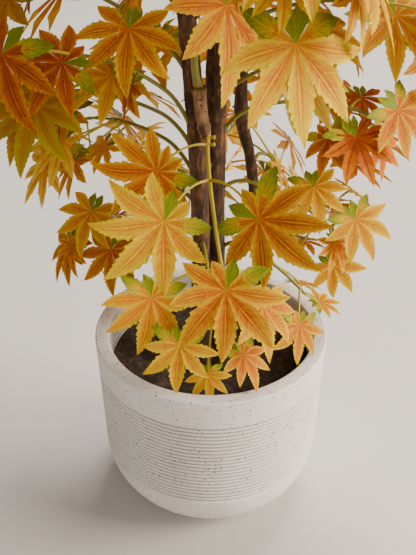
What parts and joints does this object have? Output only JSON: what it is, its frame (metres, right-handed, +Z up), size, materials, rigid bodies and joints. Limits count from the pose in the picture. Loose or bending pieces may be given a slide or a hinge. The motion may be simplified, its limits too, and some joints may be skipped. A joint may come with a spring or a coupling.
{
  "type": "artificial potted maple tree",
  "caption": "Artificial maple tree: brown bark-covered stems with green plastic twigs and star-shaped autumn leaves, standing in a round ribbed pot filled with soil.",
  "frame": {"origin": "centre of the pot's flat underside", "axes": "+Z up along the stems, the side of the plant that the picture shows faces -Y, +X is to the right seen from there"},
  "size_m": [0.5083, 0.4399, 0.8949],
  "materials": {
    "pot": "matt off-white stoneware with small dark specks and fine ribs",
    "soil": "dark brown moulded soil, matt and lumpy",
    "bark": "dark brown moulded bark, rough and matt",
    "leaves_amber": "printed polyester leaf, amber with an orange-red heart and yellow edges",
    "leaves_gold": "printed polyester leaf, golden yellow with an orange heart",
    "leaves_rust": "printed polyester leaf, rust orange with a red heart",
    "leaves_peach": "printed polyester leaf, pale peach with a soft orange heart"
  },
  "bodies": {
    "root": {"pot": "pot", "soil": "soil", "trunk_left": "bark", "trunk_right": "bark", "back_stem": "bark", "front_branch": "bark", "bough_left": "bark", "bough_back_left": "bark", "bough_top_left": "bark", "bough_right": "bark", "bough_front": "bark", "bough_back_right": "bark", "bough_top_right": "bark", "foliage_front_low": "leaves_amber", "foliage_foot": "leaves_amber", "foliage_foot_right": "leaves_gold", "foliage_left_low": "leaves_amber", "foliage_right_low": "leaves_gold", "foliage_back_low_left": "leaves_peach", "foliage_back_low_right": "leaves_peach", "foliage_left_front": "leaves_rust", "foliage_left": "leaves_gold", "foliage_left_back": "leaves_peach", "foliage_right_front": "leaves_peach", "foliage_right": "leaves_rust", "foliage_right_back": "leaves_amber", "foliage_front": "leaves_rust", "foliage_back": "leaves_amber", "foliage_right_out": "leaves_gold", "foliage_left_out": "leaves_amber", "foliage_left_front_out": "leaves_rust", "foliage_front_out": "leaves_gold", "foliage_right_side": "leaves_amber", "foliage_right_rear": "leaves_rust", "foliage_back_out": "leaves_gold", "foliage_left_rear": "leaves_amber", "foliage_high_left": "leaves_amber", "foliage_high_front": "leaves_rust", "foliage_high_front_right": "leaves_amber", "foliage_high_right": "leaves_gold", "foliage_high_back_right": "leaves_amber", "foliage_high_back": "leaves_rust", "foliage_high_back_left": "leaves_gold", "foliage_upper_left": "leaves_gold", "foliage_upper_right": "leaves_amber", "foliage_upper_front": "leaves_peach", "foliage_upper_back": "leaves_amber", "foliage_upper_back_left": "leaves_rust", "foliage_top": "leaves_amber"}
  },
  "joints": []
}
